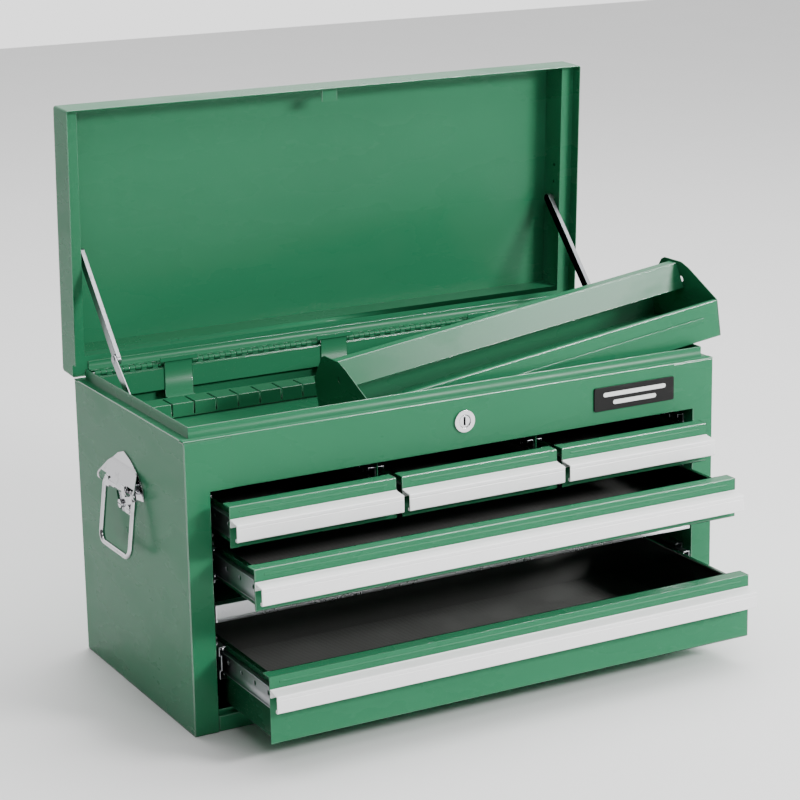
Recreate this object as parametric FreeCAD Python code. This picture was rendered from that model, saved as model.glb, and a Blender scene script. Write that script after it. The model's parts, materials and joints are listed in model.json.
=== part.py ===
import FreeCAD, Part
import math
import os

os.makedirs("parts", exist_ok=True)

V = FreeCAD.Vector

# driving dimensions, millimetres; the origin is the centre of the cabinet's bottom face
width, depth, height = 660.0, 306.0, 322.0      # cabinet shell
sheet = 1.2                                      # cabinet and lid steel
thin = 1.0                                       # drawer and tray steel
half_w, half_d = width / 2, depth / 2
opening_half = 302.0                             # drawer opening, half width
opening_low, opening_high = 18.0, 265.0
ledge, upstand = 10.0, 12.0                      # rim step under the lid and the lip inside it
seam_x = 276.0                                   # where the top front panel meets the stiles
floor_z = 279.5                                  # top face of the top compartment's floor
rim_deep, rim_low = 12.0, 297.0                  # closed channel along the rear rim
gap = 0.3                                        # clearance between parts of different bodies
hair = 0.1                                       # clearance between parts that sit against each other

# lid, measured when shut, then swung open to the rest pose
hinge_y, hinge_z = 146.5, 326.5
lid_open = 87.4
lid_over = 2.0                                   # how far the skirt stands outside the cabinet
skirt_low, lip_low, lid_top = 323.0, 337.5, 374.0
lid_half_w = half_w + lid_over
lid_front, lid_back = -half_d - lid_over, half_d - 3.0
lid_rear_low = 332.0                             # the rear skirt stops above the hinge barrel
rear_lip = 26.0
lid_inner_half = 314.5
lid_radius, corner_radius = 14.0, 2.5

# drawers: name, half width, centre x, bottom, top, front plane when pulled out as modelled
small_half = 96.8
small_pitch = 200.1
drawers = [
    ("left_drawer", small_half, -small_pitch, 212.5, 256.8, 34.5),
    ("middle_drawer", small_half, 0.0, 212.5, 256.8, 34.5),
    ("right_drawer", small_half, small_pitch, 212.5, 256.8, 34.5),
    ("wide_drawer", 297.0, 0.0, 161.5, 205.8, 90.2),
    ("deep_drawer", 297.0, 0.0, 28.0, 100.4, 117.9),
]
drawer_length = 252.0
front_flange = 16.0
wall_drop = 6.0                                  # side walls stand this much below the front
pull_high, pull_depth = 20.0, 17.0
pull_below_top = 14.0
bead_below_top = 6.5                             # stiffening rib pressed along the front
liner_floor, liner_skin = 1.5, 1.2

# ball bearing slides
slide_thick = 12.7
slide_below_top = 24.0
rail_half = (22.6, 18.0, 11.5)                   # cabinet, middle and drawer member half heights
rail_length = (245.0, 215.0, 236.0)
middle_rail_front = -95.0                        # front end of a middle member with its drawer shut

# lift-out tray, propped on the right rim
tray_length, tray_deep, tray_wall = 458.0, 134.0, 43.5
tray_tilt = 7.45
tray_corner = (-96.5, -130.0, 279.9)
tray_handle_low = 46.0
peg_at = (400.0, 22.0)

# lid stays, in the plane of the side walls
stay_lid = (167.0, 461.0)
stay_elbow = (72.5, 358.5)
stay_cabinet = (-10.0, 288.0)
stay_half = 6.0

# side handles
grip_y, grip_z = 9.0, 236.0
grip_half, grip_drop, rod = 41.0, 72.0, 3.0
barrel_off, curl_radius = 7.5, 6.2
barrel_x = half_w + barrel_off
hang_angle = 7.0
screw_apart, screw_drop = 24.0, -25.0

lock_z, lever_reach = 295.5, 49.0
plate_x, plate_z = (167.0, 274.5), (280.5, 307.5)


def box(x0, x1, y0, y1, z0, z1):
    return Part.makeBox(x1 - x0, y1 - y0, z1 - z0, V(x0, y0, z0))


def cylinder(start, end, radius):
    line = V(*end) - V(*start)
    return Part.makeCylinder(radius, line.Length, V(*start), line)


def prism(points, run):
    wire = Part.makePolygon([V(*p) for p in points] + [V(*points[0])])
    return Part.Face(wire).extrude(V(*run))


def fuse(shapes):
    whole = shapes[0].fuse(shapes[1:]) if len(shapes) > 1 else shapes[0]
    return whole.removeSplitter()


def cut(shape, tools):
    for tool in tools:
        shape = shape.cut(tool)
    return shape


def mirrored(shape):
    return shape.mirror(V(0, 0, 0), V(1, 0, 0))


def turned(shape, centre, axis, degrees):
    copy = shape.copy()
    copy.rotate(V(*centre), V(*axis), degrees)
    return copy


def save(name, shapes):
    shapes = shapes if isinstance(shapes, list) else [shapes]
    solids = [s for shape in shapes for s in shape.Solids]
    whole = solids[0] if len(solids) == 1 else Part.makeCompound(solids)
    whole.exportStep("parts/" + name + ".step")
    print(name, len(solids), round(whole.Volume), whole.isValid())


def screw_places():
    return [(grip_y + dy, grip_z + screw_drop) for dy in (-screw_apart / 2, screw_apart / 2)]


def screw_holes():
    return [cylinder((-half_w - 5, y, z), (-half_w + 3, y, z), 2.6) for y, z in screw_places()]


# cabinet
def side_panel():
    """Side wall with the front stile folded from it, and its top ledge and upstand."""
    wall = box(-half_w, -half_w + sheet, -half_d, half_d - sheet, 0, height)
    stile = box(-half_w, -opening_half, -half_d, -half_d + sheet, 0, height - sheet)
    corner = box(-opening_half, -seam_x, -half_d, -half_d + sheet, opening_high, height - sheet)
    fold = box(-opening_half - sheet, -opening_half, -half_d, -half_d + 16, opening_low, opening_high)
    top = box(-half_w, -half_w + ledge, -half_d + ledge, half_d - ledge, height - sheet, height)
    lip = box(-half_w + ledge, -half_w + ledge + sheet,
              -half_d + ledge + sheet, half_d - ledge, height - sheet, height + upstand)
    shell = fuse([wall, stile, corner, fold, top, lip])
    front = box(-half_w - 1, -half_w + ledge, -half_d - 1, -half_d + ledge, height - sheet, height + 1)
    rear = box(-half_w - 1, -half_w + ledge, half_d - ledge, half_d + 1, height - sheet, height + 1)
    return cut(shell, screw_holes() + [front, rear])


def front_top_panel():
    face = box(-seam_x, seam_x, -half_d, -half_d + sheet, opening_high, height - sheet)
    hem = box(-seam_x, seam_x, -half_d, -half_d + 14, opening_high, opening_high + sheet)
    top = box(-half_w, half_w, -half_d, -half_d + ledge, height - sheet, height)
    lip = box(-half_w + ledge, half_w - ledge, -half_d + ledge, -half_d + ledge + sheet,
              height - sheet, height + upstand)
    bore = cylinder((0, -half_d - 1, lock_z), (0, -half_d + 3, lock_z), 9.6)
    return cut(fuse([face, hem, top, lip]), [bore])


def back_panel():
    """Back sheet folded forward at the top into a closed rim channel that carries the hinge."""
    inner, low = half_d - rim_deep, rim_low
    wall = box(-half_w + sheet, half_w - sheet, half_d - sheet, half_d, 0, height)
    top = box(-half_w, half_w, half_d - ledge, half_d, height - sheet, height)
    bridge = box(-half_w + ledge + 4, half_w - ledge - 4, inner, half_d - ledge, height - sheet, height)
    face = box(-half_w + ledge + 4, half_w - ledge - 4, inner, inner + sheet, low, height)
    foot = box(-half_w + ledge + 4, half_w - ledge - 4, inner, half_d, low, low + sheet)
    return fuse([wall, top, bridge, face, foot])


def bottom_panel():
    """Floor sheet with the low front rail folded up from it, and the rail's inner lip."""
    plate = box(-half_w + sheet, half_w - sheet, -half_d + sheet, half_d - sheet, 0, sheet)
    rail = box(-opening_half + gap, opening_half - gap, -half_d, -half_d + sheet, 0, opening_low)
    top = box(-opening_half + gap, opening_half - gap, -half_d, -half_d + 9, opening_low - sheet, opening_low)
    lip = box(-opening_half + gap, opening_half - gap, -half_d + 9 - sheet, -half_d + 9,
              opening_low - sheet, opening_low + 4)
    return fuse([plate, rail, top, lip])


def compartment_floor():
    under = floor_z - sheet
    plate = box(-half_w + sheet, half_w - sheet, -half_d + sheet, half_d - sheet, under, floor_z)
    front = box(-seam_x, seam_x, -half_d + sheet, -half_d + 2 * sheet, opening_high + sheet, floor_z)
    return fuse([plate, front])


def cross_rail():
    """Plated channel across the opening, with a small lip along its lower edge."""
    inside = opening_half - sheet
    low, high, y0 = 121.0, 140.5, -half_d + 1.0
    face = box(-inside, inside, y0, y0 + sheet, low, high)
    top = box(-inside, inside, y0, y0 + 12, high - sheet, high)
    lip = box(-inside, inside, y0 - 1.0, y0 + sheet, low, low + 4.0)
    foot = box(-inside, inside, y0, y0 + 12, low, low + sheet)
    return fuse([face, top, lip, foot])


def inner_walls():
    """Two full-height walls for the side slides and two partitions between the small drawers."""
    y1, top = half_d - sheet, floor_z - sheet
    wall = box(-opening_half - sheet, -opening_half, -half_d + 16, y1, sheet, top)
    partition = box(-small_pitch / 2 - sheet / 2, -small_pitch / 2 + sheet / 2, -half_d + 14, y1, 209.0, top)
    return [wall, mirrored(wall), partition, mirrored(partition)]


def tool_rack():
    """Inverted channel with slots across its top and down its front, for hanging tools."""
    x0, x1, y0, y1, top, low = -272.0, 272.0, 76.0, 106.0, 297.0, 281.0
    body = fuse([
        box(x0, x1, y0, y1, top - thin, top),
        box(x0, x1, y0, y0 + thin, low, top),
        box(x0, x1, y1 - thin, y1, top - 8, top),
        box(x0, x1, y0, y0 + 4, low, low + thin),
    ])
    pitch, count = 27.2, 19
    slots = []
    for k in range(count):
        x = -pitch * (count - 1) / 2 + k * pitch
        slots.append(box(x - 0.9, x + 0.9, y0 - 1, y1 - 4, low + 2, top + 1))
    return cut(body, slots)


def rack_straps():
    """Straps that hang the rack from the rear rim; each ends in a cross bar."""
    straps = []
    back = half_d - rim_deep - 0.05
    for x in (-208.0, -8.0, 197.0):
        plate = box(x - 17.5, x + 17.5, back - thin, back, 289.0, 331.0)
        foot = box(x - 17.5, x + 17.5, 106.0, back, 288.0, 289.0)
        bar = box(x - 23.5, x + 23.5, back - 4, back, 330.0, 331.2)
        bend = box(x - 23.5, x + 23.5, back - 4, back - 3, 330.0, 335.5)
        straps.append(fuse([plate, foot, bar, bend]))
    return straps


# hinge
pin_radius, barrel_radius, knuckle = 1.2, 2.9, 7.0


def knuckles(offset):
    count = int((2 * 311) // (2 * knuckle))
    rings = []
    for k in range(count):
        x = -count * knuckle + 2 * k * knuckle + offset
        ring = cylinder((x + 0.15, hinge_y, hinge_z), (x + knuckle - 0.15, hinge_y, hinge_z), barrel_radius)
        rings.append(ring)
    return rings


def hinge_bore():
    return cylinder((-320, hinge_y, hinge_z), (320, hinge_y, hinge_z), pin_radius + 0.05)


def fixed_leaf():
    """Strip on the rear rim with every other knuckle standing on it."""
    base = box(-311, 311, hinge_y - 5.2, hinge_y + 5.5, height + hair, height + 1.0)
    feet = [box(ring.BoundBox.XMin, ring.BoundBox.XMax, hinge_y - 2.0, hinge_y + 2.0, height + hair, hinge_z)
            for ring in knuckles(0)]
    return cut(fuse([base] + feet + knuckles(0)), [hinge_bore()])


def moving_leaf():
    """Strip under the lid's rear channel, bent down and joined to the other knuckles."""
    low = lip_low - 1.0 - gap
    front, rear = hinge_y - barrel_radius, hinge_y - barrel_radius + 1.0
    strip = box(-311, 311, hinge_y - 12, hinge_y - 2.2, low, low + 1.0)
    web = box(-311, 311, front, rear, hinge_z + 3.4, low + 1.0)
    reach = [box(ring.BoundBox.XMin, ring.BoundBox.XMax, front, rear, hinge_z, low + 1.0)
             for ring in knuckles(knuckle)]
    return opened(cut(fuse([strip, web] + reach + knuckles(knuckle)), [hinge_bore()]))


# lid
def rounded_block(inset, low):
    """The lid's outer form made smaller by inset: round along the top edges and down the corners."""
    side = lid_half_w - inset
    block = box(-side, side, lid_front + inset, lid_back - inset, low, lid_top - inset)
    upright = [e for e in block.Edges if abs(e.Vertexes[0].Z - e.Vertexes[1].Z) > 1]
    block = block.makeFillet(corner_radius - inset, upright)
    top = [e for e in block.Edges if abs(e.CenterOfMass.z - lid_top + inset) < 0.01]
    return block.makeFillet(lid_radius - inset, top)


def lid_shell():
    rear = box(-lid_half_w - 1, lid_half_w + 1, hinge_y - 12, lid_back + 1, skirt_low - 1, lid_rear_low)
    slot = box(-18.0, -1.0, lid_front - 1, lid_front + 3, skirt_low + 2.5, skirt_low + 5.0)
    return cut(rounded_block(0, skirt_low), [rounded_block(sheet, skirt_low - 5), rear, slot])


def lid_inner_frame():
    """Channels inside the lid's two sides and rear: a lip below and a wall set in from the skirt."""
    x_out, x_in = lid_half_w, lid_inner_half
    y1, top = lid_back - rear_lip, lid_top - sheet
    lip = box(-x_out, x_out, lid_front, lid_back, lip_low, lip_low + sheet)
    walls = box(-x_in - sheet, x_in + sheet, lid_front, y1 + sheet, lip_low, top)
    hollow = box(-x_in, x_in, lid_front - 1, y1, lip_low - 1, top + 1)
    fold = box(-x_in, x_in, y1, y1 + 6, lip_low, lip_low + 6)
    y, z = closed_stay()
    pins = [cylinder((s * (x_in - 1), y, z), (s * (x_in + 4), y, z), 2.5) for s in (-1, 1)]
    spare = [cylinder((s * (x_in - 1), y - dy, z - 2), (s * (x_in + 4), y - dy, z - 2), 1.8)
             for s in (-1, 1) for dy in (21.0, 42.0)]
    channels = fuse([lip, walls]).common(rounded_block(sheet, lip_low - 5)).cut(hollow)
    frame = fuse([channels, fold])
    rear_edge = [e for e in frame.Edges if e.Length > 500 and abs(e.CenterOfMass.y - y1) < 0.01
                 and abs(e.CenterOfMass.z - lip_low) < 0.01]
    return cut(frame.makeFillet(5.0, rear_edge), pins + spare)


def closed_stay():
    a = math.radians(lid_open)
    dy, dz = stay_lid[0] - hinge_y, stay_lid[1] - hinge_z
    return hinge_y + dy * math.cos(a) - dz * math.sin(a), hinge_z + dy * math.sin(a) + dz * math.cos(a)


def lid_strike():
    """Angle under the lid's front edge: the lock's lever swings up behind its tongue and hooks over it."""
    y0, y1 = lid_front + sheet, -half_d + 16.0
    tongue = box(-14.0, 6.0, y0, y1, lip_low - sheet, lip_low)
    foot = box(-14.0, 6.0, y0, y0 + sheet, lip_low - sheet, lip_low + 12.0)
    return fuse([tongue, foot])


def opened(shape):
    return turned(shape, (0, hinge_y, hinge_z), (1, 0, 0), -lid_open)


# lid stays
def link(a, b, x0, x1, half=stay_half):
    """Flat bar with round ends between two pivots, in a plane of constant x."""
    line = V(0, b[0] - a[0], b[1] - a[1])
    normal = V(0, -line.z, line.y).normalize() * half
    corners = [V(x0, a[0], a[1]) + normal, V(x0, b[0], b[1]) + normal,
               V(x0, b[0], b[1]) - normal, V(x0, a[0], a[1]) - normal]
    bar = prism([tuple(c) for c in corners], (x1 - x0, 0, 0))
    ends = [cylinder((x0, *p), (x1, *p), half) for p in (a, b)]
    return fuse([bar] + ends)


def stay_parts(side):
    """Upper link, lower link, lid pin and cabinet stud; each link carries half of the elbow rivet."""
    pivot, running = 2.5, 0.06
    hole = pivot + running
    hollow = link(stay_lid, stay_elbow, 305.0, 309.8, stay_half - 1)
    channel = link(stay_lid, stay_elbow, 306.0, 311.2).cut(hollow)
    upper = cut(fuse([channel, cylinder((308.4, *stay_elbow), (309.8, *stay_elbow), 3.6)]),
                [cylinder((300, *stay_lid), (320, *stay_lid), hole)])
    lower = cut(fuse([link(stay_elbow, stay_cabinet, 311.7, 313.3),
                      cylinder((313.3, *stay_elbow), (314.2, *stay_elbow), 4.2)]),
                [cylinder((300, *stay_cabinet), (320, *stay_cabinet), hole)])
    pin = fuse([cylinder((308.9, *stay_lid), (lid_inner_half + 2.5, *stay_lid), pivot),
                cylinder((308.0, *stay_lid), (309.5, *stay_lid), 4.2),
                cylinder((311.8, *stay_lid), (lid_inner_half - 0.05, *stay_lid), 4.0)])
    stud = fuse([cylinder((310.9, *stay_cabinet), (half_w - sheet, *stay_cabinet), pivot),
                 cylinder((310.2, *stay_cabinet), (311.2, *stay_cabinet), 4.5),
                 cylinder((313.8, *stay_cabinet), (half_w - sheet, *stay_cabinet), 6.5)])
    parts = [upper, lower, pin, stud]
    return parts if side > 0 else [mirrored(p) for p in parts]


# slides
def rail(kind, length, y0, z, side, mount):
    """One slide member: kind 0 on the cabinet, 1 between, 2 on the drawer; side is toward the cabinet."""
    h = rail_half[kind]
    if kind == 0:
        shape = [box(0, 1.1, y0, y0 + length, z - h, z + h),
                 box(0, 9.0, y0, y0 + length, z + h - 1.1, z + h),
                 box(0, 9.0, y0, y0 + length, z - h, z - h + 1.1),
                 box(7.9, 9.0, y0, y0 + length, z + h - 3.5, z + h),
                 box(7.9, 9.0, y0, y0 + length, z - h, z - h + 3.5)]
    elif kind == 1:
        shape = [box(2.4, 3.4, y0, y0 + length, z + 9, z + h),
                 box(2.4, 3.4, y0, y0 + length, z - h, z - 9),
                 box(2.4, 5.6, y0, y0 + length, z + 8, z + 9),
                 box(2.4, 5.6, y0, y0 + length, z - 9, z - 8),
                 box(4.6, 5.6, y0, y0 + length, z - 9, z + 9),
                 box(2.4, 10.6, y0, y0 + length, z + h - 1, z + h),
                 box(2.4, 10.6, y0, y0 + length, z - h, z - h + 1)]
    else:
        shape = [box(11.6, slide_thick, y0, y0 + length, z - h, z + h),
                 box(7.0, slide_thick, y0, y0 + length, z + h - 1, z + h),
                 box(7.0, slide_thick, y0, y0 + length, z - h, z - h + 1)]
    pitch, hole = 32.0, (0, 3.4, 2.6)[kind]
    holes = [cylinder((-1, y0 + 12 + k * pitch, z), (20, y0 + 12 + k * pitch, z), hole)
             for k in range(int(length // pitch)) if hole]
    part = cut(fuse(shape), holes)
    if side > 0:
        part = mirrored(part)
    part.translate(V(mount, 0, 0))
    return part


def mounts_of(name):
    """The two faces a drawer's slides are fixed to: a side wall or a face of a partition."""
    near, far = (small_pitch - sheet) / 2, (small_pitch + sheet) / 2
    faces = {
        "left_drawer": (-opening_half, -far),
        "middle_drawer": (-near, near),
        "right_drawer": (far, opening_half),
    }
    return faces.get(name, (-opening_half, opening_half))


# drawers
def drawer(name, half, centre, low, high, out):
    y0 = -half_d - out
    left, right = mounts_of(name)
    x0, x1 = left + slide_thick, right - slide_thick
    z = high - slide_below_top
    wall_top = high - wall_drop
    back = y0 + drawer_length
    bead_ends = [(x, y0 + thin, high - bead_below_top) for x in (centre - half + 11, centre + half - 11)]
    bead = cylinder(*bead_ends, 1.7)
    front = fuse([
        box(centre - half, centre + half, y0, y0 + thin, low, high),
        box(centre - half, centre + half, y0, y0 + front_flange, high - thin, high),
        box(x0, x1, y0 + front_flange - thin, y0 + front_flange, high - 5, high),
        box(x0, x1, y0, back, low, low + thin),
        box(x0, x0 + thin, y0, back, low, wall_top),
        box(x1 - thin, x1, y0, back, low, wall_top),
        box(x0, x0 + 5, y0 + thin, back, wall_top - thin, wall_top),
        box(x1 - 5, x1, y0 + thin, back, wall_top - thin, wall_top),
        box(x0, x1, back - thin, back, low, wall_top),
        box(x0, x1, back - 5, back, wall_top - thin, wall_top),
        bead.common(box(-half_w, half_w, y0 - 2, y0 + thin, low, high)),
    ])
    inset = thin + hair
    inside = inset + liner_skin
    tub = box(x0 + inset, x1 - inset, y0 + inset, back - inset, low + thin, wall_top - 2.5)
    hollow = box(x0 + inside, x1 - inside, y0 + inside, back - inside, low + thin + liner_floor, high)
    liner = tub.cut(hollow)
    top = high - pull_below_top
    d = pull_depth
    outline = [(0, 1.0), (-1.6, 1.0), (-1.6, 0.2), (-d + 1, -1.0), (-d, -2.0), (-d, -5.2), (-d + 0.5, -5.7),
               (-d, -6.2), (-d, -pull_high + 1), (-d + 1, -pull_high), (-d + 4.5, -pull_high),
               (-d + 4.5, -pull_high + 3.4), (-d + 3.2, -pull_high + 3.4), (-d + 3.2, -pull_high + 1.4),
               (-d + 1.5, -pull_high + 1.4), (-d + 1.5, -2.6), (-1.6, -1.4), (-1.6, -8.0), (0, -8.0)]
    points = [(centre - half, y0 + y, top + dz) for y, dz in outline]
    pull = prism(points, (2 * half, 0, 0))
    rails = [rail(2, rail_length[2], y0 + 6, z, -1, left), rail(2, rail_length[2], y0 + 6, z, 1, right)]
    save(name + "_body", front)
    save(name + "_pull", pull)
    save(name + "_liner", liner)
    save(name + "_rails", rails)
    middle = [rail(1, rail_length[1], middle_rail_front - out / 2, z, side, mount)
              for side, mount in ((-1, left), (1, right))]
    save(name + "_middle_rails", middle)
    return [rail(0, rail_length[0], -half_d + 17, z, side, mount) for side, mount in ((-1, left), (1, right))]


# tray
def tray_frame(shape):
    """Take a shape from the tray's own axes to its propped place."""
    moved = shape.copy()
    moved.rotate(V(0, 0, 0), V(0, 1, 0), -tray_tilt)
    moved.translate(V(*tray_corner))
    return moved


def tray_parts():
    length, deep, wall = tray_length, tray_deep, tray_wall
    pan = fuse([
        box(thin, length - thin, 0, deep, 0, thin),
        box(thin, length - thin, 0, thin, 0, wall),
        box(thin, length - thin, deep - thin, deep, 0, wall),
        box(thin, length - thin, 0, 6, wall - thin, wall),
        box(thin, length - thin, deep - 6, deep, wall - thin, wall),
        box(25, length - 22, -1.6, 0, wall - 19.5, wall - 16.0),
    ])
    profile = [(0, 0), (0, wall), (52, wall + 29), (66, wall + 34), (100, wall + 34), (107, wall + 31),
               (deep, wall), (deep, 0)]
    plate = prism([(0, y, z) for y, z in profile], (thin, 0, 0))
    hole = cylinder((-1, 69, 56.0), (3, 69, 56.0), 3.5)
    left = cut(plate, [hole])
    right = left.copy()
    right.translate(V(length - thin, 0, 0))
    low, high, lean = tray_handle_low, tray_handle_low + 29, 11.0
    outer = [(75 - lean, low), (75, high), (89, high), (89, low)]
    inner = [(75 - lean + 1.1, low - 1), (76, high - thin), (89 - thin, high - thin), (89 - thin, low - 1)]
    full = prism([(thin, y, z) for y, z in outer], (length - 2 * thin, 0, 0))
    hollow = prism([(2 * thin, y, z) for y, z in inner], (length - 4 * thin, 0, 0))
    grip = full.cut(hollow)
    peg = cylinder((peg_at[0], deep + 0.4, peg_at[1]), (peg_at[0], deep + 2.4, peg_at[1]), 5.0)
    save("tray_pan", tray_frame(pan))
    save("tray_end_plates", [tray_frame(left), tray_frame(right)])
    save("tray_handle", tray_frame(grip))
    save("tray_peg", tray_frame(peg))


# lock, plate, handles
def lock_parts():
    y = -half_d
    flange = cylinder((0, y - 2.2, lock_z), (0, y, lock_z), 12.5)
    barrel = cylinder((0, y, lock_z), (0, y + 15.0, lock_z), 9.4)
    bore = cylinder((0, y - 5, lock_z), (0, y + 20, lock_z), 6.9)
    housing = cut(fuse([flange, barrel]), [bore])
    nut = cut(cylinder((0, y + sheet + 0.05, lock_z), (0, y + sheet + 4, lock_z), 12.5),
              [cylinder((0, y, lock_z), (0, y + 9, lock_z), 9.5)])
    plug = cylinder((0, y - 1.2, lock_z), (0, y + 16.4, lock_z), 6.85)
    slot = box(-1.1, 1.1, y - 3, y + 8, lock_z - 4.5, lock_z + 4.5)
    lever = box(-lever_reach, 0, y + 16.4, y + 18.4, lock_z - 5, lock_z + 5)
    hook = box(-lever_reach, -lever_reach + 1.4, y + 12.0, y + 18.4, lock_z - 4, lock_z + 4)
    hub = cylinder((0, y + 16.4, lock_z), (0, y + 18.4, lock_z), 7.5)
    screw = cylinder((0, y + 18.4, lock_z), (0, y + 20.4, lock_z), 4.0)
    cam = fuse([lever, hook, hub, screw])
    save("lock_housing", [housing, nut])
    save("lock_plug", plug.cut(slot))
    save("lock_cam", cam)


def nameplate():
    plate = box(plate_x[0], plate_x[1], -half_d - 2.0, -half_d, plate_z[0], plate_z[1])
    edges = [e for e in plate.Edges if abs(e.Length - 2.0) < 0.01]
    return plate.makeFillet(2.0, edges)


def handle_bracket():
    """Pressed shield with a pointed top; its face leans out, curls over the bail and stops open below."""
    wall, t = -half_w, 1.6
    outline = [(-51, -7), (-51, 4), (-40, 18), (-18, 31), (0, 37), (18, 31), (40, 18), (51, 4), (51, -7),
               (28, -10), (19, -33), (-19, -33), (-28, -10)]
    plate = prism([(wall - t, grip_y + y, grip_z + z) for y, z in outline], (t, 0, 0))
    shield = prism([(wall - 30, grip_y + y, grip_z + z) for y, z in outline], (30, 0, 0))

    # cross-section of the curl: along the wall, out on a slope, then round the bail's axle
    r, slope, bend = curl_radius, math.radians(30), 20.0
    centre = V(wall - barrel_off, 0, grip_z)
    leave = centre + V(-r * math.cos(slope), 0, r * math.sin(slope))
    rise = (barrel_off + r * math.cos(slope) - t / 2) / math.tan(slope)
    knee = V(wall - t / 2, 0, leave.z + rise)
    reach = bend * math.tan(slope / 2)
    start = knee + V(0, 0, reach)
    end = knee + V(-reach * math.sin(slope), 0, -reach * math.cos(slope))
    hub = V(wall - t / 2 - bend, 0, start.z)
    middle = hub + V(bend * math.cos(slope / 2), 0, -bend * math.sin(slope / 2))
    stop = math.radians(-80)
    half = (slope + stop) / 2
    path = Part.Wire([
        Part.LineSegment(V(wall - t / 2, 0, grip_z + 38), start).toShape(),
        Part.Arc(start, middle, end).toShape(),
        Part.LineSegment(end, leave).toShape(),
        Part.Arc(leave, centre + V(-r * math.cos(half), 0, r * math.sin(half)),
                 centre + V(-r * math.cos(stop), 0, r * math.sin(stop))).toShape(),
    ])
    strip = path.makeOffset2D(t / 2, 0, True, True, False)
    curl = strip.extrude(V(0, 120, 0))
    curl.translate(V(0, grip_y - 60, 0))
    ears = [box(wall - barrel_off - r, wall - t / 2, grip_y + y0, grip_y + y0 + 8, grip_z - r, grip_z + r)
            for y0 in (-27, 19)]
    axle = [(-barrel_x, grip_y + y, grip_z) for y in (-60, 60)]
    slots = [box(-barrel_x - 20, wall - t, grip_y + y0, grip_y + y0 + 17, grip_z - 20, grip_z + 6.5)
             for y0 in (-46.5, 29.5)]
    bracket = fuse([plate, curl.common(shield)] + ears)
    return cut(bracket, [cylinder(*axle, rod + 0.08)] + slots + screw_holes())


def handle_screws():
    screws = []
    for y, z in screw_places():
        shank = cylinder((-half_w - 1.6, y, z), (-half_w + 6, y, z), 2.5)
        head = cylinder((-half_w - 4.6, y, z), (-half_w - 1.6, y, z), 5.0)
        slot = box(-half_w - 5, -half_w - 3.4, y - 5, y + 5, z - 0.6, z + 0.6)
        screws.append(fuse([shank, head]).cut(slot))
    return screws


def bail():
    """Round rod: a straight axle in the ears, two legs and a grip, with bent corners."""
    half, drop = grip_half, grip_drop
    centre = V(-barrel_x, grip_y, grip_z)
    corner, bottom = 9.0, 12.0
    down = V(0, 0, -1)
    s = 1 / math.sqrt(2)
    pts = [V(0, half - corner, 0), V(0, half, -corner),
           V(0, half, -drop + bottom), V(0, half - bottom, -drop)]
    mid1 = V(0, half - corner + corner * s, -corner + corner * s)
    mid2 = V(0, half - bottom + bottom * s, -drop + bottom - bottom * s)
    flip = [V(0, -p.y, p.z) for p in pts]
    flip1, flip2 = V(0, -mid1.y, mid1.z), V(0, -mid2.y, mid2.z)
    edges = [
        Part.LineSegment(V(0, 0, 0), pts[0]).toShape(), Part.Arc(pts[0], mid1, pts[1]).toShape(),
        Part.LineSegment(pts[1], pts[2]).toShape(), Part.Arc(pts[2], mid2, pts[3]).toShape(),
        Part.LineSegment(pts[3], flip[3]).toShape(), Part.Arc(flip[3], flip2, flip[2]).toShape(),
        Part.LineSegment(flip[2], flip[1]).toShape(), Part.Arc(flip[1], flip1, flip[0]).toShape(),
        Part.LineSegment(flip[0], V(0, 0, 0)).toShape(),
    ]
    path = Part.Wire(edges)
    section = Part.Wire(Part.makeCircle(rod, V(0, 0, 0), V(0, 1, 0)))
    ring = path.makePipeShell([section], True, False)
    ring.translate(centre)
    return turned(ring, tuple(centre), (0, 1, 0), hang_angle)


# build
panel = side_panel()
save("left_side_panel", panel)
save("right_side_panel", mirrored(panel))
save("back_panel", back_panel())
save("bottom_panel", bottom_panel())
save("front_top_panel", front_top_panel())
save("compartment_floor", compartment_floor())
save("cross_rail", cross_rail())
save("inner_walls", inner_walls())
save("tool_rack", tool_rack())
save("rack_straps", rack_straps())
save("hinge_fixed_leaf", fixed_leaf())
save("hinge_moving_leaf", moving_leaf())
save("hinge_pin", cylinder((-311, hinge_y, hinge_z), (311, hinge_y, hinge_z), pin_radius))
save("lid_shell", opened(lid_shell()))
save("lid_inner_frame", opened(lid_inner_frame()))
save("lock_strike", opened(lid_strike()))

stays = {}
for word, sign in (("left", -1), ("right", 1)):
    upper, lower, pin, stud = stay_parts(sign)
    save(word + "_stay_upper_link", upper)
    save(word + "_stay_lower_link", lower)
    stays[word] = (pin, stud)
save("stay_lid_pins", [stays[word][0] for word in stays])
save("stay_cabinet_studs", [stays[word][1] for word in stays])

outer_rails = []
for row in drawers:
    outer_rails += drawer(*row)
save("cabinet_rails", outer_rails)

tray_parts()
lock_parts()
save("nameplate", nameplate())

bracket, ring, screws = handle_bracket(), bail(), handle_screws()
save("handle_brackets", [bracket, mirrored(bracket)])
save("left_handle_bail", ring)
save("right_handle_bail", mirrored(ring))
save("handle_screws", screws + [mirrored(s) for s in screws])
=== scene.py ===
import bmesh
import bpy
import json
import numpy as np
from math import cos, pi, radians, sin
from mathutils import Matrix, Vector


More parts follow.
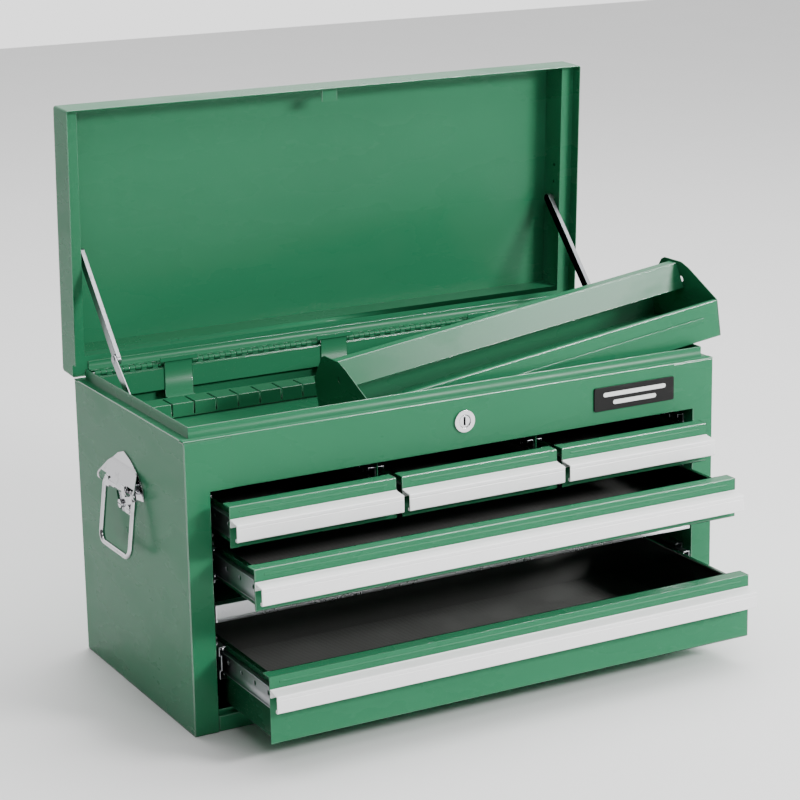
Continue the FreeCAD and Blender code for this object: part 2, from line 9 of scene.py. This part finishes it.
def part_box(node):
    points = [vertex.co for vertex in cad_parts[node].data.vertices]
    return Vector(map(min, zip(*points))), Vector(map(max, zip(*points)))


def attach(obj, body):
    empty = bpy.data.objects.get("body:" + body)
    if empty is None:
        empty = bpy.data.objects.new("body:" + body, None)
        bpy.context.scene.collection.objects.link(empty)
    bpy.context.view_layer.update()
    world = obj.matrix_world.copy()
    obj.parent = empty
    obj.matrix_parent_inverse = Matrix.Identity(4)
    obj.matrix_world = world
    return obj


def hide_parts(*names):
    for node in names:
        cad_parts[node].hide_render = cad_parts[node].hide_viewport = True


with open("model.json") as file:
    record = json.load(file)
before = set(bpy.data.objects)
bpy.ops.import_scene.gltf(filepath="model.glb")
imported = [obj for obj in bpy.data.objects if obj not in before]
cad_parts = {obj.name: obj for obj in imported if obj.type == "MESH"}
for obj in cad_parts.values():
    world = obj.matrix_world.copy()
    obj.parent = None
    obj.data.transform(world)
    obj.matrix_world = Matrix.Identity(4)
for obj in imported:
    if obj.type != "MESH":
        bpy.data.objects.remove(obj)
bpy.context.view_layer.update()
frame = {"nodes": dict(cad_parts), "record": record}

nodes = frame["nodes"]
record = frame["record"]
slotOf = {entry["node"]: entry["material_slot"] for entry in record["subparts"]}
bodyOf = {name: body for body, members in record["behaviour"]["bodies"].items() for name in members}
mm = 0.001
drawerNames = ["left", "middle", "right", "wide", "deep"]


class Wire:
    # an output socket; arithmetic on it adds Math nodes
    def __init__(self, finish, socket):
        self.finish, self.socket = finish, socket

    def math(self, operation, *values):
        return self.finish.add("Math", {"operation": operation}, dict(enumerate(values)))

    def __add__(self, other):
        return self.math("ADD", self, other)

    def __mul__(self, other):
        return self.math("MULTIPLY", self, other)

    __radd__ = __add__
    __rmul__ = __mul__

    def above(self, level, width):
        # 0 below the level, 1 above it, with a soft step of that width
        return self.finish.add("MapRange", {"interpolation_type": "SMOOTHSTEP"},
                               {0: self, 1: level, 2: level + width, 3: 0.0, 4: 1.0})


class Finish:
    # builds one material; every node comes from add(), as type, settings, sockets and the output to use
    def __init__(self, name):
        self.material = bpy.data.materials.new(name)
        self.material.use_nodes = True
        self.tree = self.material.node_tree
        self.tree.nodes.clear()
        self.place = self.add("TexCoord", {}, {}, "Object")

    def add(self, kind, settings, sockets, out=0):
        node = self.tree.nodes.new("ShaderNode" + kind)
        for key, value in settings.items():
            setattr(node, key, value)
        for key, value in sockets.items():
            if isinstance(value, Wire):
                self.tree.links.new(value.socket, node.inputs[key])
            else:
                node.inputs[key].default_value = value
        return Wire(self, node.outputs[out]) if len(node.outputs) else None

    def noise(self, scale, detail=2.0, stretch=(1.0, 1.0, 1.0)):
        at = self.add("Mapping", {}, {"Vector": self.place, "Scale": stretch})
        return self.add("TexNoise", {}, {"Vector": at, "Scale": scale, "Detail": detail})

    def mix(self, amount, first, second):
        return self.add("Mix", {"data_type": "RGBA"}, {0: amount, 6: first, 7: second}, 2)

    def bump(self, height, strength, distance):
        return self.add("Bump", {}, {"Height": height, "Strength": strength, "Distance": distance})

    def surface(self, sockets):
        shader = self.add("BsdfPrincipled", {}, sockets)
        self.add("OutputMaterial", {}, {"Surface": shader})
        return self.material


enamel = {
    "green": (0.026, 0.180, 0.084, 1.0),
    "deep": (0.020, 0.152, 0.070, 1.0),
    "dusty": (0.050, 0.220, 0.120, 1.0),
    "roughness": 0.27, "foldRoughness": 0.16, "smudge": 0.08, "peel": 420.0, "peelDepth": 0.00012,
}


def greenEnamel():
    # baked gloss paint: slow drift of tone, faint dust, wiped smudges and a fine orange peel
    f = Finish("green_enamel")
    drift = f.noise(4.0, 3.0)
    wiped = f.noise(9.0, 4.0, (1.0, 1.0, 2.6)).above(0.46, 0.22)
    dust = f.noise(700.0, 1.0).above(0.70, 0.05) * 0.25
    tone = f.mix(drift, enamel["deep"], enamel["green"])
    peel = f.noise(enamel["peel"], 1.0) + f.noise(60.0, 1.0) * 0.6
    return f.surface({
        "Base Color": f.mix(dust + wiped * 0.04, tone, enamel["dusty"]),
        "Roughness": wiped * enamel["smudge"] + dust * 0.3 + enamel["roughness"],
        "Specular IOR Level": 0.14, "IOR": 1.5,
        "Normal": f.bump(peel, 0.16, enamel["peelDepth"]),
    })


def foldedEnamel():
    # the same paint over a rounded fold, smoother and with a clear gloss
    f = Finish("green_enamel_fold")
    drift = f.noise(4.0, 3.0)
    return f.surface({
        "Base Color": f.mix(drift, enamel["deep"], enamel["green"]),
        "Roughness": drift * 0.05 + enamel["foldRoughness"],
        "Coat Weight": 1.0, "Coat Roughness": 0.10, "Coat IOR": 1.7, "IOR": 1.5,
    })


# painted reflection: the near-white tones stand in for the bright surroundings that the metal mirrors
alloyAndPaintedSheen = {"bright": (0.98, 0.98, 0.98, 1.0), "dull": (0.92, 0.92, 0.925, 1.0), "roughness": 0.40,
         "metallic": 0.12}


def drawnAluminium():
    # satin extrusion: die lines that run along X, and a slight cloudiness; Metallic is far below that of
    # bare aluminium, only to hold the tone near white: the near-white base colour is a painted reflection
    f = Finish("drawn_aluminium")
    lines = f.noise(1.0, 3.0, (3.0, 1500.0, 1500.0))
    cloud = f.noise(22.0, 3.0)
    return f.surface({
        "Base Color": f.mix(lines * 0.5 + cloud * 0.4, alloyAndPaintedSheen["dull"], alloyAndPaintedSheen["bright"]),
        "Metallic": alloyAndPaintedSheen["metallic"], "Roughness": lines * 0.14 + cloud * 0.08 + alloyAndPaintedSheen["roughness"],
        "Normal": f.bump(lines, 0.25, 0.00008),
    })


zinc = {"light": (0.84, 0.84, 0.86, 1.0), "dark": (0.66, 0.66, 0.69, 1.0), "grain": 420.0,
        "roughness": 0.24}
# painted shade: the slides get a darker copy of the zinc tones, standing in for the shade in the gap
# between cabinet and drawer where they run
shadedSlideSteel = {"light": (0.44, 0.45, 0.47, 1.0), "dark": (0.28, 0.285, 0.30, 1.0), "grain": 320.0,
              "roughness": 0.26}


def zincPlate(name, tones):
    # zinc on rolled strip: fine grains, broad clouds and small scuffs drawn out along Y
    f = Finish(name)
    grain = f.add("TexVoronoi", {}, {"Vector": f.place, "Scale": tones["grain"]}, "Color")
    spangle = f.add("SeparateColor", {}, {"Color": grain})
    cloud = f.noise(16.0, 3.0, (1.0, 0.4, 1.0))
    scuff = f.noise(90.0, 5.0, (1.0, 0.15, 1.0)).above(0.60, 0.1)
    return f.surface({
        "Base Color": f.mix(spangle * 0.12 + cloud * 0.5 + scuff * 0.25, tones["light"], tones["dark"]),
        "Metallic": 1.0, "Roughness": spangle * 0.03 + cloud * 0.06 + scuff * 0.08 + tones["roughness"],
        "Normal": f.bump(scuff, 0.08, 0.00004),
    })


chrome = {"clean": (0.58, 0.58, 0.60, 1.0), "printed": (0.48, 0.48, 0.50, 1.0), "roughness": 0.05}


def brightChrome():
    # plated and polished, with fingerprints that dull it here and there
    f = Finish("bright_chrome")
    prints = f.noise(70.0, 4.0).above(0.55, 0.15)
    return f.surface({
        "Base Color": f.mix(prints, chrome["clean"], chrome["printed"]),
        "Metallic": 1.0, "Roughness": prints * 0.08 + chrome["roughness"],
        "Normal": f.bump(f.noise(300.0, 2.0), 0.05, 0.00005),
    })


rubber = {"black": (0.100, 0.102, 0.097, 1.0), "bloom": (0.140, 0.142, 0.136, 1.0), "roughness": 0.62}


def blackMat():
    # ribbed rubber sheet with lint and a worn grey bloom
    f = Finish("black_mat")
    bloom = f.noise(14.0, 4.0).above(0.45, 0.3)
    lint = f.noise(900.0, 2.0).above(0.72, 0.03)
    return f.surface({
        "Base Color": f.mix(bloom * 0.5 + lint * 0.4, rubber["black"], rubber["bloom"]),
        "Roughness": bloom * 0.15 + rubber["roughness"],
        "Normal": f.bump(f.noise(1200.0, 2.0), 0.3, 0.0002),
    })


plate = {"black": (0.003, 0.003, 0.003, 1.0), "scuffed": (0.012, 0.012, 0.012, 1.0), "roughness": 0.34}


def blackPlate():
    # black lacquer, scuffed along its length
    f = Finish("black_plate")
    scuff = f.noise(120.0, 4.0, (0.3, 1.0, 1.0)).above(0.60, 0.1)
    return f.surface({
        "Base Color": f.mix(scuff, plate["black"], plate["scuffed"]),
        "Specular IOR Level": 0.2, "Roughness": scuff * 0.2 + plate["roughness"],
        "Normal": f.bump(scuff, 0.1, 0.00005),
    })


inkTones = {"fresh": (0.86, 0.86, 0.85, 1.0), "faded": (0.74, 0.74, 0.73, 1.0), "roughness": 0.35}


def whiteInk():
    # printed white, a little uneven
    f = Finish("white_ink")
    fade = f.noise(200.0, 3.0)
    return f.surface({
        "Base Color": f.mix(fade, inkTones["fresh"], inkTones["faded"]),
        "Roughness": fade * 0.2 + inkTones["roughness"],
    })


finishes = {
    "green_paint": greenEnamel(), "aluminium_pull": drawnAluminium(),
    # the slide steel is the same zinc with painted shade
    "zinc_steel": zincPlate("zinc_plate", zinc), "slide_steel": zincPlate("slide_steel", shadedSlideSteel),
    "chrome": brightChrome(), "black_liner": blackMat(), "black_plate": blackPlate(),
}
foldFinish = foldedEnamel()
ink = whiteInk()
print("finishes made")


def place(obj, body, replaced=()):
    bpy.context.scene.collection.objects.link(obj)
    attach(obj, body)
    if replaced:
        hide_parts(*replaced)
    return obj


def meshObject(name, points, faces, material, smooth=True):
    mesh = bpy.data.meshes.new(name)
    mesh.from_pydata(points, [], faces)
    mesh.materials.append(material)
    mesh.polygons.foreach_set("use_smooth", [smooth] * len(mesh.polygons))
    mesh.update()
    return bpy.data.objects.new(name, mesh)


# widths in millimetres: fold is the outside radius of a bend, cut that of a sheared edge;
# where shortest is given, edges shorter than it stay sharp
forming = {
    "cabinet": {"fold": 2.2, "cut": 0.45},
    "lid": {"fold": 2.4, "cut": 0.55},
    "ledge": {"fold": 1.0, "cut": 0.5, "shortest": 100.0},
    "frame": {"fold": 0.5, "cut": 0.5, "shortest": 100.0},
    "drawer": {"fold": 1.4, "cut": 0.4},
    "small": {"fold": 0.8, "cut": 0.3},
    "fine": {"fold": 0.5, "cut": 0.4},
}
joining = {"merge": 0.001 * mm, "flat": radians(0.5)}
wideFace = 3.2 * mm         # a face narrower than this is the sheared edge of a sheet
cutShare = 0.46             # the most of a sheared edge's width that its rounding takes
sharpAngle = radians(42)    # facets of a round face meet at less than this
segments = 3
overshoot = {"limit": 0.15 * mm, "shrink": 0.75, "tries": 8}


def faceReach(face, edge):
    # how far the face runs away from the edge, measured in its own plane
    along = (edge.verts[1].co - edge.verts[0].co).normalized()
    across = face.normal.cross(along)
    reach = [(v.co - edge.verts[0].co).dot(across) for v in face.verts]
    return max(max(reach), -min(reach))


def outerBox(mesh):
    flat = np.empty(len(mesh.vertices) * 3)
    mesh.vertices.foreach_get("co", flat)
    points = flat.reshape(-1, 3)
    return points.min(axis=0), points.max(axis=0)


def settleFolds(obj, bevel):
    # tightens the folds until no corner of the rounded sheet stands outside the plain one
    low, high = outerBox(obj.data)
    for attempt in range(overshoot["tries"]):
        evaluated = obj.evaluated_get(bpy.context.evaluated_depsgraph_get())
        newLow, newHigh = outerBox(evaluated.data)
        if max((low - newLow).max(), (newHigh - high).max()) < overshoot["limit"]:
            return
        bevel.width *= overshoot["shrink"]


def formed(name, style):
    # a copy of the CAD sheet with its triangles joined into flat faces and its outer edges rounded
    sizes = forming[style]
    mesh = bpy.data.meshes.new(name + "_sheet")
    bm = bmesh.new()
    bm.from_mesh(nodes[name].data)
    bmesh.ops.remove_doubles(bm, verts=bm.verts, dist=joining["merge"])
    bmesh.ops.dissolve_limit(bm, angle_limit=joining["flat"], verts=bm.verts, edges=bm.edges)
    bm.normal_update()
    weight = bm.edges.layers.float.new("bevel_weight_edge")
    for edge in bm.edges:
        if len(edge.link_faces) != 2 or not edge.is_convex or edge.calc_face_angle() < sharpAngle:
            continue
        if edge.calc_length() < sizes.get("shortest", 0.0) * mm:
            continue
        reach = min(faceReach(face, edge) for face in edge.link_faces)
        if reach > wideFace:
            size = sizes["fold"]
        else:
            size = min(sizes["cut"], cutShare * reach / mm)
        edge[weight] = min(1.0, size / sizes["fold"])
    for face in bm.faces:
        face.smooth = True
    bm.to_mesh(mesh)
    bm.free()
    mesh.materials.append(finishes[slotOf[name]])
    mesh.materials.append(foldFinish if slotOf[name] == "green_paint" else finishes[slotOf[name]])
    obj = bpy.data.objects.new(name + "_sheet", mesh)
    bevel = obj.modifiers.new("folds", "BEVEL")
    bevel.material = 1      # the second material, on the rounded edges only
    bevel.limit_method = "WEIGHT"
    bevel.width = sizes["fold"] * mm
    bevel.segments = segments
    bevel.use_clamp_overlap = False
    normals = obj.modifiers.new("flat_faces", "WEIGHTED_NORMAL")
    normals.mode = "FACE_AREA"
    normals.weight = 100
    place(obj, bodyOf[name], [name])
    settleFolds(obj, bevel)
    return obj


styles = {
    "cabinet": ["left_side_panel", "right_side_panel", "bottom_panel", "compartment_floor",
                "inner_walls", "cross_rail"],
    "ledge": ["front_top_panel"],
    "lid": ["lid_shell"],
    "frame": ["lid_inner_frame", "back_panel"],
    "drawer": [n + "_drawer_body" for n in drawerNames] + ["tray_pan", "tray_end_plates", "tray_handle"],
    "small": [n + "_drawer_liner" for n in drawerNames]
    + ["tool_rack", "rack_straps", "handle_brackets", "nameplate", "lock_housing", "lock_strike"],
    "fine": [n + "_drawer_pull" for n in drawerNames] + [n + "_drawer_rails" for n in drawerNames]
    + [n + "_drawer_middle_rails" for n in drawerNames]
    + ["cabinet_rails", "left_stay_upper_link", "left_stay_lower_link", "right_stay_upper_link",
       "right_stay_lower_link", "hinge_fixed_leaf", "hinge_moving_leaf", "handle_screws", "lock_plug",
       "lock_cam", "stay_cabinet_studs", "stay_lid_pins", "left_handle_bail", "right_handle_bail",
       "hinge_pin", "tray_peg"],
}
for style, names in styles.items():
    for name in names:
        formed(name, style)
    print("formed", style, len(names))


mat = {"rib": 4.0 * mm, "ribHeight": 0.5 * mm, "perRib": 4, "floor": 1.5 * mm, "edge": 1.3 * mm,
       "clear": 0.1 * mm}


def ribbedMat(name):
    # ribs across the floor of a liner: height = floor + clear + ribHeight * |sin(pi * y / rib)|
    low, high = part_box(name)
    x0, x1 = low.x + mat["edge"], high.x - mat["edge"]
    y0, y1 = low.y + mat["edge"], high.y - mat["edge"]
    count = int(round((y1 - y0) / mat["rib"])) * mat["perRib"]
    y = np.linspace(y0, y1, count + 1)
    ribs = mat["ribHeight"] * np.abs(np.sin(pi * (y - y0) / mat["rib"]))
    z = low.z + mat["floor"] + mat["clear"] + ribs
    under = np.full_like(y, low.z + mat["floor"] - mat["clear"])
    points = np.vstack([np.column_stack([np.full_like(y, x), y, h]) for x in (x0, x1) for h in (under, z)])
    n = count + 1
    i = np.arange(count)
    bottomLeft, topLeft, bottomRight, topRight = i, i + n, i + 2 * n, i + 3 * n
    strips = [
        np.column_stack([topLeft, topRight, topRight + 1, topLeft + 1]),
        np.column_stack([bottomLeft, bottomLeft + 1, bottomRight + 1, bottomRight]),
        np.column_stack([bottomLeft, topLeft, topLeft + 1, bottomLeft + 1]),
        np.column_stack([bottomRight, bottomRight + 1, topRight + 1, topRight]),
    ]
    ends = [[0, 2 * n, 3 * n, n], [count, count + n, count + 3 * n, count + 2 * n]]
    obj = meshObject(name + "_ribs", points.tolist(), np.vstack(strips).tolist() + ends,
                     finishes["black_liner"], False)
    return place(obj, bodyOf[name])


for drawerName in drawerNames:
    ribbedMat(drawerName + "_drawer_liner")
print("mats laid")


def lathe(profile, steps):
    # points (r cos t, r sin t, h) for each (r, h) of a profile whose first and last r are 0
    t = np.linspace(0, 2 * pi, steps, endpoint=False)
    inner = profile[1:-1]
    ring = np.stack([np.outer(inner[:, 0], np.cos(t)), np.outer(inner[:, 0], np.sin(t)),
                     np.outer(inner[:, 1], np.ones(steps))], axis=-1).reshape(-1, 3)
    points = np.vstack([[[0, 0, profile[0, 1]]], ring, [[0, 0, profile[-1, 1]]]])
    j = np.arange(steps)
    k = (j + 1) % steps
    faces = [[0, 1 + b, 1 + a] for a, b in zip(j, k)]
    for row in range(len(inner) - 1):
        a = 1 + row * steps
        faces += np.column_stack([a + j, a + k, a + steps + k, a + steps + j]).tolist()
    last = 1 + (len(inner) - 1) * steps
    faces += [[last + a, last + b, len(points) - 1] for a, b in zip(j, k)]
    return points, faces


def scattered(name, shape, places, material, body):
    # the same small turned shape at many places
    points, faces = shape
    allPoints = np.vstack([points + np.array(p) for p in places])
    allFaces = [[v + i * len(points) for v in face] for i in range(len(places)) for face in faces]
    return place(meshObject(name, allPoints.tolist(), allFaces, material), body)


def ball(radius):
    # half circle from pole to pole, turned into a ball by lathe
    a = np.linspace(0, pi, 7)
    return np.column_stack([radius * np.sin(a), radius * np.cos(a)])


# of each row: radius, height from the slide's centre line, inset from its side, start from its front end
ballRow = {
    "pitch": 11.0 * mm, "count": 12, "steps": 10,
    "inner": {"radius": 2.3 * mm, "offset": 14.2 * mm, "inset": 6.2 * mm, "start": 4.0 * mm},
    "outer": {"radius": 1.7 * mm, "offset": 19.8 * mm, "inset": 3.4 * mm, "start": 60.0 * mm},
}


def ballRows(drawerName):
    # bearing balls above and below the drawer member, and between the middle and the cabinet member
    middle = drawerName + "_drawer_middle_rails"
    low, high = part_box(middle)
    z = (low.z + high.z) / 2
    for word in ("inner", "outer"):
        row = ballRow[word]
        y = low.y + row["start"] + ballRow["pitch"] * np.arange(ballRow["count"])
        sides = (low.x + row["inset"], high.x - row["inset"])
        places = [(x, float(v), z + s * row["offset"]) for x in sides for v in y for s in (-1, 1)]
        scattered(drawerName + "_slide_balls_" + word, lathe(ball(row["radius"]), ballRow["steps"]),
                  places, finishes["chrome"], bodyOf[middle])


for drawerName in drawerNames:
    ballRows(drawerName)
print("balls set")

badge = {"long": 84.0 * mm, "short": 58.0 * mm, "high": 5.0 * mm, "step": 9.6 * mm, "thick": 0.35 * mm,
         "sunk": 0.05 * mm}


def badgeBars():
    # two plain rules with round ends, printed a little proud of the plate
    low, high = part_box("nameplate")
    centre = (low + high) / 2
    a = np.linspace(-pi / 2, pi / 2, 9)
    points, faces = [], []
    for length, dz in ((badge["long"], badge["step"] / 2), (badge["short"], -badge["step"] / 2)):
        r = badge["high"] / 2
        right = np.column_stack([length / 2 - r + r * np.cos(a), r * np.sin(a)])
        outline = np.vstack([right, -right])
        n = len(outline)
        first = len(points)
        for y in (low.y + badge["sunk"], low.y - badge["thick"]):
            points += [(centre.x + x, y, centre.z + dz + z) for x, z in outline.tolist()]
        i = np.arange(n)
        k = (i + 1) % n
        faces += (np.column_stack([i, i + n, k + n, k]) + first).tolist()
        faces += [(first + n + i).tolist(), (first + i[::-1]).tolist()]
    obj = meshObject("nameplate_bars", points, faces, ink, False)
    return place(obj, "cabinet")


badgeBars()
print("badge printed")

camera = {"azimuth": -28.6, "elevation": 14.0, "roll": -1.0, "place": (-1.2404, -2.3064, 0.9912),
          "focal": 107.06, "sensor": 36.0, "shiftX": -0.0116, "shiftY": -0.058, "far": 50.0}


def aimCamera():
    az, el, roll = (radians(camera[k]) for k in ("azimuth", "elevation", "roll"))
    back = Vector((sin(az) * cos(el), -cos(az) * cos(el), sin(el)))
    right = (-back).cross(Vector((0, 0, 1))).normalized()
    up = back.cross(right)
    right, up = cos(roll) * right + sin(roll) * up, cos(roll) * up - sin(roll) * right
    data = bpy.data.cameras.new("camera")
    data.lens, data.sensor_width = camera["focal"], camera["sensor"]
    data.shift_x, data.shift_y = camera["shiftX"], camera["shiftY"]
    data.clip_end = camera["far"]
    obj = bpy.data.objects.new("camera", data)
    obj.matrix_world = Matrix.Translation(camera["place"]) @ Matrix((right, up, back)).transposed().to_4x4()
    bpy.context.scene.collection.objects.link(obj)
    bpy.context.scene.camera = obj


aimCamera()

lamps = {
    "key": {"from": (-0.6, -2.3, 3.0), "wide": 1.8, "tall": 1.2, "power": 28.0},
    "front": {"from": (1.75, -2.6, 1.6), "wide": 1.0, "tall": 0.4, "power": 120.0},
    "top": {"from": (0.9, 0.6, 3.6), "wide": 3.6, "tall": 3.0, "power": 135.0},
}
aimPoint = Vector((0, 0, 0.25))


def softBox(name, lamp):
    data = bpy.data.lights.new(name, "AREA")
    data.energy, data.shape, data.size, data.size_y = lamp["power"], "RECTANGLE", lamp["wide"], lamp["tall"]
    obj = bpy.data.objects.new(name, data)
    at = Vector(lamp["from"])
    aim = (aimPoint - at).to_track_quat("-Z", "Y").to_matrix().to_4x4()
    obj.matrix_world = Matrix.Translation(at) @ aim
    bpy.context.scene.collection.objects.link(obj)


for name, lamp in lamps.items():
    softBox(name, lamp)

studio = {"bright": 1.9, "dim": 0.14, "toward": (0.72, 0.68, 0.10), "fade": (-0.3, 0.7)}


class Surround(Finish):
    # the nodes of a world, by the same add()
    def __init__(self, name):
        self.world = bpy.data.worlds.new(name)
        self.world.use_nodes = True
        self.tree = self.world.node_tree
        self.tree.nodes.clear()
        self.place = self.add("TexCoord", {}, {}, "Generated")


def studioWorld():
    # white surroundings, bright toward one direction and dimmer opposite it
    f = Surround("studio")
    facing = f.add("VectorMath", {"operation": "DOT_PRODUCT"}, {0: f.place, 1: studio["toward"]}, "Value")
    levels = (*studio["fade"], studio["dim"], studio["bright"])
    strength = f.add("MapRange", {"interpolation_type": "SMOOTHSTEP"},
                     {0: facing, **dict(enumerate(levels, 1))})
    sky = f.add("Background", {}, {"Color": (1.0, 1.0, 1.0, 1.0), "Strength": strength})
    f.add("OutputWorld", {}, {"Surface": sky})
    bpy.context.scene.world = f.world


studioWorld()


pale = {"dull": (0.86, 0.86, 0.86, 1.0), "clean": (0.90, 0.90, 0.90, 1.0), "roughness": 0.6,
        "half": 6.0, "top": -0.3 * mm}


def floorFinish():
    f = Finish("pale_floor")
    cloud = f.noise(3.0, 2.0)
    return f.surface({
        "Base Color": f.mix(cloud, pale["dull"], pale["clean"]),
        "Roughness": cloud * 0.1 + pale["roughness"],
    })


signs = ((-1, -1), (1, -1), (1, 1), (-1, 1))
corners = [(sx * pale["half"], sy * pale["half"], pale["top"]) for sx, sy in signs]
floor = meshObject("studio_floor", corners, [[0, 1, 2, 3]], floorFinish(), False)
bpy.context.scene.collection.objects.link(floor)
print("studio lit")
